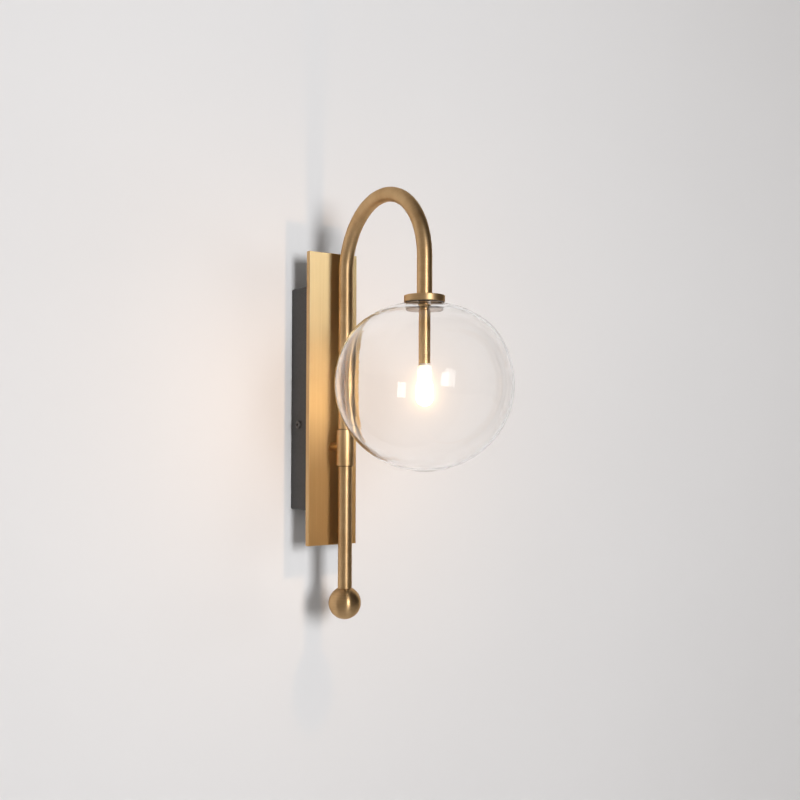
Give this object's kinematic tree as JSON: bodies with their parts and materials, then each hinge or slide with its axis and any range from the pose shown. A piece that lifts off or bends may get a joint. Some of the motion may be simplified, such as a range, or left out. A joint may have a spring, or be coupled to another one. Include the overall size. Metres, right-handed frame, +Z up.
{
  "type": "globe wall sconce",
  "caption": "Wall light: bent brass tube arm on a narrow brass back plate, clear glass globe hanging from its hook, ball finial below.",
  "frame": {"origin": "in the wall plane, midway between the two wall slots, at the middle height and width of the back plate", "axes": "+Y into the wall, +Z up, the arm stands out towards -Y"},
  "size_m": [0.15, 0.2595, 0.3895],
  "materials": {
    "satin_brass": "satin, fine brushing round the axis",
    "satin_brass_plate": "satin, vertical brushed grain",
    "raw_brass": "as turned",
    "tinned_brass": "tin plated",
    "black_powder_coat": "fine matte powder coat",
    "black_screw": "black oxide, satin",
    "zinc_steel": "bright zinc",
    "pin_steel": "bright",
    "black_rubber": "matte",
    "driver_case": "fine moulded grain",
    "terminal_plastic": "moulded nylon",
    "bush_plastic": "moulded",
    "live_insulation": "extruded",
    "neutral_insulation": "extruded",
    "earth_insulation": "extruded",
    "lamp_lead": "extruded",
    "clear_plastic": "clear moulded polycarbonate",
    "white_ceramic": "unglazed",
    "frosted_glass": "frosted inside",
    "clear_glass": "clear, blown",
    "emitter": "phosphor coated"
  },
  "bodies": {
    "root": {"canopy_box": "black_powder_coat", "backplate": "satin_brass_plate", "plate_screws": "zinc_steel", "wall_bracket": "zinc_steel", "canopy_screws": "black_screw", "cable_grommet": "black_rubber", "led_driver": "driver_case", "driver_screws": "zinc_steel", "terminal_block": "terminal_plastic", "terminal_screws": "zinc_steel", "block_screws": "zinc_steel", "earth_lug": "tinned_brass", "earth_washer": "zinc_steel", "earth_screw": "zinc_steel", "earth_lead": "earth_insulation", "live_lead": "live_insulation", "neutral_lead": "neutral_insulation", "standoff": "satin_brass", "standoff_washer": "zinc_steel", "standoff_nut": "zinc_steel", "pivot_collar": "satin_brass", "collar_bushes": "bush_plastic", "lamp_lead_fixed": "lamp_lead"},
    "arm": {"hook_tube": "satin_brass", "rod_coupler": "raw_brass", "lower_rod": "satin_brass", "rod_end_plug": "raw_brass", "finial_ball": "satin_brass", "hook_end_insert": "raw_brass", "globe_cap": "satin_brass", "grip_cup": "clear_plastic", "rim_ring": "black_rubber", "lamp_stem": "satin_brass", "lamp_socket": "white_ceramic", "socket_contacts": "tinned_brass", "lamp_lead_arm": "lamp_lead"},
    "bulb": {"bulb_base": "white_ceramic", "bulb_pins": "pin_steel", "bulb_envelope": "frosted_glass", "bulb_emitter": "emitter"},
    "globe": {"glass_globe": "clear_glass"}
  },
  "joints": [
    {"name": "arm_swivel", "type": "hinge", "parent": "root", "child": "arm", "pos_m": [0, -0.0585, -0.046], "axis": [0, 0, 1], "range_deg": [-45, 45]},
    {"name": "globe_pull", "type": "slide", "parent": "arm", "child": "globe", "axis": [0, 0, -1], "range_m": [0, 0.1]},
    {"name": "bulb_pull", "type": "slide", "parent": "arm", "child": "bulb", "axis": [0, 0, -1], "range_m": [0, 0.012]}
  ]
}
